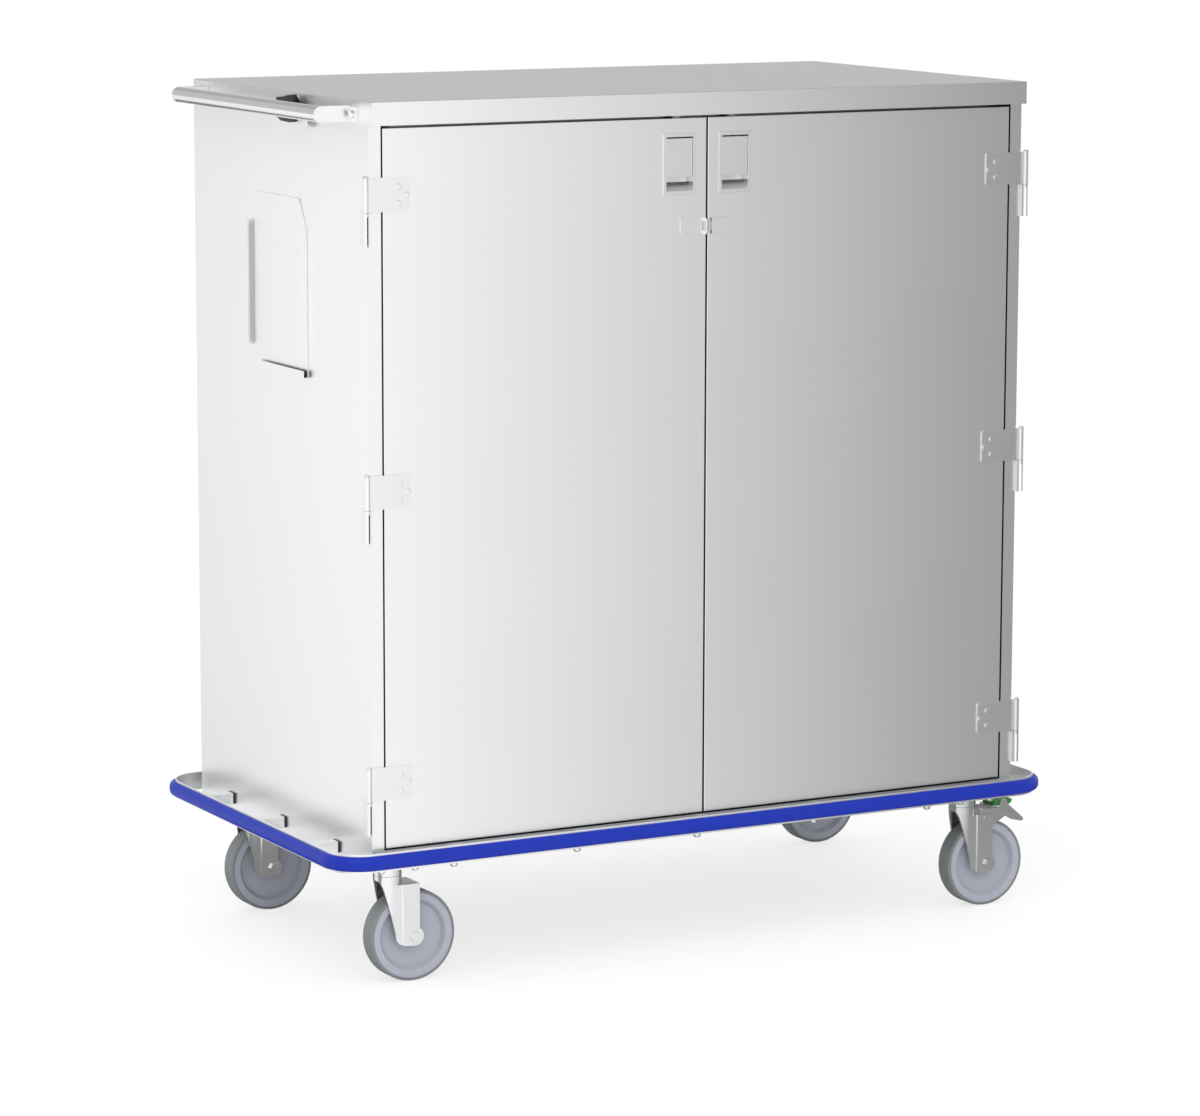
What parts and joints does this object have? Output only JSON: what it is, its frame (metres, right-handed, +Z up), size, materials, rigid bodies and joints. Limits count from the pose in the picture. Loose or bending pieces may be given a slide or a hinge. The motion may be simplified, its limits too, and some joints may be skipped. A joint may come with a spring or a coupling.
{
  "type": "closed case cart",
  "caption": "Closed stainless case cart: double hinged doors with recessed pulls, folded lid, shelves, bumper ring, push handle and swivel casters with a lock pedal.",
  "frame": {"origin": "on the floor, under the middle of the bumper's outline", "axes": "+X right along the doors, -Y out of the doors, +Z up; the push handle is on the -X end"},
  "size_m": [1.352, 0.726, 1.418],
  "materials": {
    "stainless_sheet": "fine satin stainless sheet",
    "cast_stainless": "tumbled stainless casting",
    "polished_tube": "satin stainless tube",
    "dark_steel": "satin pressed steel",
    "zinc_steel": "bright zinc plate",
    "blue_rubber": "smooth blue moulded strip",
    "black_rubber": "matt",
    "black_plastic": "matt moulded",
    "grey_plastic": "smooth moulded nylon",
    "grey_rubber": "smooth non-marking tread",
    "green_plastic": "smooth moulded"
  },
  "bodies": {
    "cabinet": {"back_panel": "stainless_sheet", "base_bolts": "zinc_steel", "base_frame": "stainless_sheet", "bumper_rail": "stainless_sheet", "bumper_strip": "blue_rubber", "card_holder": "stainless_sheet", "caster_plates": "zinc_steel", "door_stops": "black_rubber", "floor_pan": "stainless_sheet", "frame_hinge_leaves": "cast_stainless", "handle_brackets": "stainless_sheet", "handle_tube": "polished_tube", "hinge_pins": "cast_stainless", "hold_open_blocks": "black_plastic", "hold_open_catches": "stainless_sheet", "latch_keepers": "stainless_sheet", "lid": "stainless_sheet", "rail_stubs": "stainless_sheet", "roof_frame": "stainless_sheet", "shelf_supports": "stainless_sheet", "shelves": "stainless_sheet", "side_panel_left": "stainless_sheet", "side_panel_right": "stainless_sheet", "stub_pads": "black_plastic"},
    "left_door": {"left_door_skin": "stainless_sheet", "left_door_liner": "stainless_sheet", "left_door_gasket": "black_rubber", "left_hinge_leaves": "cast_stainless", "left_hinge_rivets": "cast_stainless", "left_pull_frame": "dark_steel", "left_hasp_plate": "stainless_sheet"},
    "left_paddle_flap": {"left_paddle": "cast_stainless"},
    "left_latch": {"left_latch_bolt": "cast_stainless"},
    "right_door": {"right_door_skin": "stainless_sheet", "right_door_liner": "stainless_sheet", "right_door_gasket": "black_rubber", "right_hinge_leaves": "cast_stainless", "right_hinge_rivets": "cast_stainless", "right_pull_frame": "dark_steel", "right_hasp_plate": "stainless_sheet"},
    "right_paddle_flap": {"right_paddle": "cast_stainless"},
    "right_latch": {"right_latch_bolt": "cast_stainless"},
    "front_left_caster_fork": {"front_left_fork": "zinc_steel", "front_left_axle": "zinc_steel"},
    "front_left_wheel": {"front_left_wheel_core": "grey_plastic", "front_left_tyre": "grey_rubber"},
    "front_right_caster_fork": {"front_right_fork": "zinc_steel", "front_right_axle": "zinc_steel"},
    "front_right_wheel": {"front_right_wheel_core": "grey_plastic", "front_right_tyre": "grey_rubber"},
    "back_left_caster_fork": {"back_left_fork": "zinc_steel", "back_left_axle": "zinc_steel"},
    "back_left_wheel": {"back_left_wheel_core": "grey_plastic", "back_left_tyre": "grey_rubber"},
    "back_right_caster_fork": {"back_right_fork": "zinc_steel", "back_right_axle": "zinc_steel"},
    "back_right_wheel": {"back_right_wheel_core": "grey_plastic", "back_right_tyre": "grey_rubber"},
    "lock_pedal": {"brake_pedal": "zinc_steel", "brake_pad": "green_plastic"}
  },
  "joints": [
    {"name": "left_door_hinge", "type": "hinge", "parent": "cabinet", "child": "left_door", "pos_m": [-0.6122, -0.3397, 0.80525], "axis": [0, 0, -1], "range_deg": [0, 267]},
    {"name": "left_paddle_hinge", "type": "hinge", "parent": "left_door", "child": "left_paddle_flap", "pos_m": [-0.0514, -0.331, 1.3414], "axis": [-1, 0, 0], "range_deg": [0, 40], "stiffness_Nm_per_rad": 0.15},
    {"name": "left_latch_slide", "type": "slide", "parent": "left_door", "child": "left_latch", "axis": [0, 0, -1], "range_m": [0, 0.006]},
    {"name": "right_door_hinge", "type": "hinge", "parent": "cabinet", "child": "right_door", "pos_m": [0.6122, -0.3397, 0.80525], "axis": [0, 0, 1], "range_deg": [0, 267]},
    {"name": "right_paddle_hinge", "type": "hinge", "parent": "right_door", "child": "right_paddle_flap", "pos_m": [0.0514, -0.331, 1.3414], "axis": [-1, 0, 0], "range_deg": [0, 40], "stiffness_Nm_per_rad": 0.15},
    {"name": "right_latch_slide", "type": "slide", "parent": "right_door", "child": "right_latch", "axis": [0, 0, -1], "range_m": [0, 0.006]},
    {"name": "front_left_swivel", "type": "hinge", "parent": "cabinet", "child": "front_left_caster_fork", "pos_m": [-0.5487, -0.2732, 0.172], "axis": [0, 0, 1], "continuous": true},
    {"name": "front_left_roll", "type": "hinge", "parent": "front_left_caster_fork", "child": "front_left_wheel", "pos_m": [-0.5107, -0.2732, 0.075], "axis": [0, 1, 0], "continuous": true},
    {"name": "front_right_swivel", "type": "hinge", "parent": "cabinet", "child": "front_right_caster_fork", "pos_m": [0.5487, -0.2732, 0.172], "axis": [0, 0, 1], "continuous": true},
    {"name": "front_right_roll", "type": "hinge", "parent": "front_right_caster_fork", "child": "front_right_wheel", "pos_m": [0.5867, -0.2732, 0.075], "axis": [0, 1, 0], "continuous": true},
    {"name": "back_left_swivel", "type": "hinge", "parent": "cabinet", "child": "back_left_caster_fork", "pos_m": [-0.5487, 0.2732, 0.172], "axis": [0, 0, 1], "continuous": true},
    {"name": "back_left_roll", "type": "hinge", "parent": "back_left_caster_fork", "child": "back_left_wheel", "pos_m": [-0.5107, 0.2732, 0.075], "axis": [0, 1, 0], "continuous": true},
    {"name": "back_right_swivel", "type": "hinge", "parent": "cabinet", "child": "back_right_caster_fork", "pos_m": [0.5487, 0.2732, 0.172], "axis": [0, 0, 1], "continuous": true},
    {"name": "back_right_roll", "type": "hinge", "parent": "back_right_caster_fork", "child": "back_right_wheel", "pos_m": [0.5867, 0.2732, 0.075], "axis": [0, 1, 0], "continuous": true},
    {"name": "lock_pedal_hinge", "type": "hinge", "parent": "front_right_caster_fork", "child": "lock_pedal", "pos_m": [0.5827, -0.2732, 0.1544], "axis": [0, 1, 0], "range_deg": [0, 10], "stiffness_Nm_per_rad": 0.5}
  ],
  "couplings": [
    {"joint": "left_latch_slide", "follows": "left_paddle_hinge", "m_per_rad": 0.0085944},
    {"joint": "right_latch_slide", "follows": "right_paddle_hinge", "m_per_rad": 0.0085944}
  ]
}
